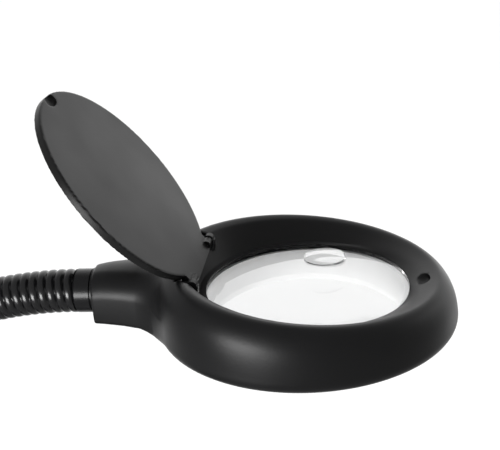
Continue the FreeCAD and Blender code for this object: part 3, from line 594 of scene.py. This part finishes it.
def edge_quads(field, f, low, step, axis, shape):
    """Surface points on the cut edges of one axis, their normals and the four cells round each,
    in an order that faces outward."""
    at, place, forward = crossings(field, f, low, step, axis)
    first, second = [i for i in range(3) if i != axis]
    corner = []
    for d0, d1 in ((-1, -1), (0, -1), (0, 0), (-1, 0)):
        cell = at.copy()
        cell[:, first] += d0
        cell[:, second] += d1
        corner.append((cell[:, 0] * shape[1] + cell[:, 1]) * shape[2] + cell[:, 2])
    cells = np.stack(corner, axis=1)
    quads = cells.copy()
    backward = forward if axis == 1 else ~forward
    quads[backward] = quads[backward][:, ::-1]
    return place, gradient(field, place), cells, quads


def plane_meet(inverse, count, places, normals):
    """For each cell, the point where its tangent planes meet, held gently to their middle."""
    def gather(values):
        return np.bincount(inverse, weights=values, minlength=count)

    number = gather(np.ones(len(inverse)))
    middle = np.stack([gather(places[:, i]) for i in range(3)], axis=1) / number[:, None]
    offset = ((places - middle[inverse]) * normals).sum(axis=1)
    right = np.stack([gather(normals[:, i] * offset) for i in range(3)], axis=1)
    matrix = np.empty((count, 3, 3))
    for i in range(3):
        for j in range(3):
            matrix[:, i, j] = gather(normals[:, i] * normals[:, j]) + (HOLD if i == j else 0.0)
    return middle + np.linalg.solve(matrix, right[:, :, None])[:, :, 0]


def contour(field, low, high, step):
    """Closed quad mesh of field = 0 that keeps creases sharp: one vertex per grid cell, placed
    where the surface's tangent planes in that cell meet."""
    counts = [int(math.ceil((high[i] - low[i]) / step)) + 1 for i in range(3)]
    axes = [low[i] + step * np.arange(counts[i]) for i in range(3)]
    f = field(*np.meshgrid(*axes, indexing="ij"))
    shape = np.array(counts) - 1
    cells, places, normals, quads = [], [], [], []
    for axis in range(3):
        place, normal, cell, quad = edge_quads(field, f, low, step, axis, shape)
        cells.extend(cell.T)
        places.extend([place] * 4)
        normals.extend([normal] * 4)
        quads.append(quad)
    ids, inverse = np.unique(np.concatenate(cells), return_inverse=True)
    points = plane_meet(inverse, len(ids), np.concatenate(places), np.concatenate(normals))
    base = np.stack([ids // (shape[1] * shape[2]), ids // shape[2] % shape[1], ids % shape[2]])
    corner = base.T * step + np.array(low)
    points = np.clip(points, corner, corner + step)
    return points, np.searchsorted(ids, np.concatenate(quads))


# boxes of the mesh grids in mm, off round numbers so that no face lies along a grid plane
HEAD_GRID = (-100.3, -72.1, -23.2), (72.3, 72.2, 19.4)
PANEL_GRID = (-93.1, -11.1, -21.0), (-58.3, 11.2, -7.0)
LID_GRID = (-52.1, -52.3, 5.6), (54.2, 52.4, 13.0)


def build_head():
    step = 0.9
    points, faces = contour(shell_field, *HEAD_GRID, step)
    skin = mesh_object("head_skin", (points + HEAD) * MM, faces, "head_plastic", sharp=32.0)
    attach(skin, "head")
    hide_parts("head_shell")
    points, faces = contour(neck_cover_field, *PANEL_GRID, 0.75)
    panel = mesh_object("neck_panel", (points + HEAD) * MM, faces, "cover_plastic", sharp=32.0)
    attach(panel, "head")
    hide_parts("neck_cover")


def build_lid():
    step = 0.7
    points, faces = contour(lid_field, *LID_GRID, step)
    points = (open_lid(points) + HEAD) * MM
    lid = mesh_object("lid_plate", points, faces, "lid_plastic", sharp=40.0)
    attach(lid, "cover")
    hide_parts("lid")


build_head()
build_lid()


# ---- stage, light, camera ------------------------------------------------
def build_floor():
    """Pale matt floor that shiny surfaces don't mirror, just under the base."""
    mat, _, bsdf = new_material("floor")
    bsdf.inputs["Base Color"].default_value = (*grey(0.90), 1.0)
    bsdf.inputs["Roughness"].default_value = 0.9
    bsdf.inputs["Specular IOR Level"].default_value = 0.1
    bpy.ops.mesh.primitive_plane_add(size=60.0, location=(0, 0, -0.0002))
    floor = bpy.context.object
    floor.name = "floor"
    floor.data.materials.append(mat)
    floor.visible_glossy = False


def build_world():
    """White surroundings that grow brighter toward +Y, behind the lamp."""
    world = bpy.data.worlds.new("studio")
    bpy.context.scene.world = world
    world.use_nodes = True
    tree = world.node_tree
    background = tree.nodes["Background"]
    background.inputs["Color"].default_value = (*grey(1.0), 1.0)
    split = add(tree, "ShaderNodeSeparateXYZ")
    tree.links.new(add(tree, "ShaderNodeTexCoord").outputs["Generated"], split.inputs["Vector"])
    level = remap(tree, split.outputs["Y"], 0.3, 0.95, 0.4, 1.6)
    tree.links.new(level, background.inputs["Strength"])


def linked(name, data):
    obj = bpy.data.objects.new(name, data)
    bpy.context.scene.collection.objects.link(obj)
    return obj


def overhead_light():
    """Even light from straight above, which whitens the floor and leaves no glare."""
    data = bpy.data.lights.new("overhead", "SUN")
    data.energy = 1.75
    data.angle = math.radians(60.0)
    linked("overhead", data).visible_glossy = False


def area_light(name, place, width, height, power):
    """Softbox of the given size in metres and power in watts, turned to the head."""
    data = bpy.data.lights.new(name, "AREA")
    data.energy = power
    data.shape = "RECTANGLE"
    data.size = width
    data.size_y = height
    obj = linked(name, data)
    obj.location = place
    direction = Vector(LIGHT_TARGET) - Vector(place)
    obj.rotation_euler = direction.to_track_quat("-Z", "Y").to_euler()


def build_camera():
    """Camera that has the head's centre right of its axis and below it by the two offsets."""
    azimuth, elevation, roll = CAMERA_ANGLES
    right = np.array([math.cos(azimuth), math.sin(azimuth), 0.0])
    back = np.array([math.sin(azimuth) * math.cos(elevation),
                     -math.cos(azimuth) * math.cos(elevation), math.sin(elevation)])
    up = np.cross(back, right)
    x_axis = math.cos(roll) * right + math.sin(roll) * up
    y_axis = math.cos(roll) * up - math.sin(roll) * right
    eye = HEAD + CAMERA_DISTANCE * back - CAMERA_RIGHT * x_axis + CAMERA_DOWN * y_axis
    data = bpy.data.cameras.new("camera")
    data.lens = FOCAL_RATIO * SENSOR_MM
    data.sensor_width = SENSOR_MM
    data.clip_start = 0.01
    camera = linked("camera", data)
    camera.matrix_world = Matrix((
        (x_axis[0], y_axis[0], back[0], eye[0] * MM),
        (x_axis[1], y_axis[1], back[1], eye[1] * MM),
        (x_axis[2], y_axis[2], back[2], eye[2] * MM),
        (0, 0, 0, 1),
    ))
    bpy.context.scene.camera = camera


LIGHT_TARGET = (0.257, 0.0, 0.285)
CAMERA_ANGLES = [math.radians(angle) for angle in (7.50, 21.69, -3.93)]
CAMERA_DISTANCE, CAMERA_RIGHT, CAMERA_DOWN = 457.75, 24.93, 27.51
SENSOR_MM, FOCAL_RATIO = 36.0, 2.0

build_floor()
build_world()
bpy.context.scene.view_settings.view_transform = "Standard"
overhead_light()
area_light("softbox_left", (-0.07, -0.45, 0.268), 0.27, 0.20, 3.4)
area_light("softbox_right", (1.45, 0.55, 0.75), 0.6, 0.5, 1.0)
build_camera()
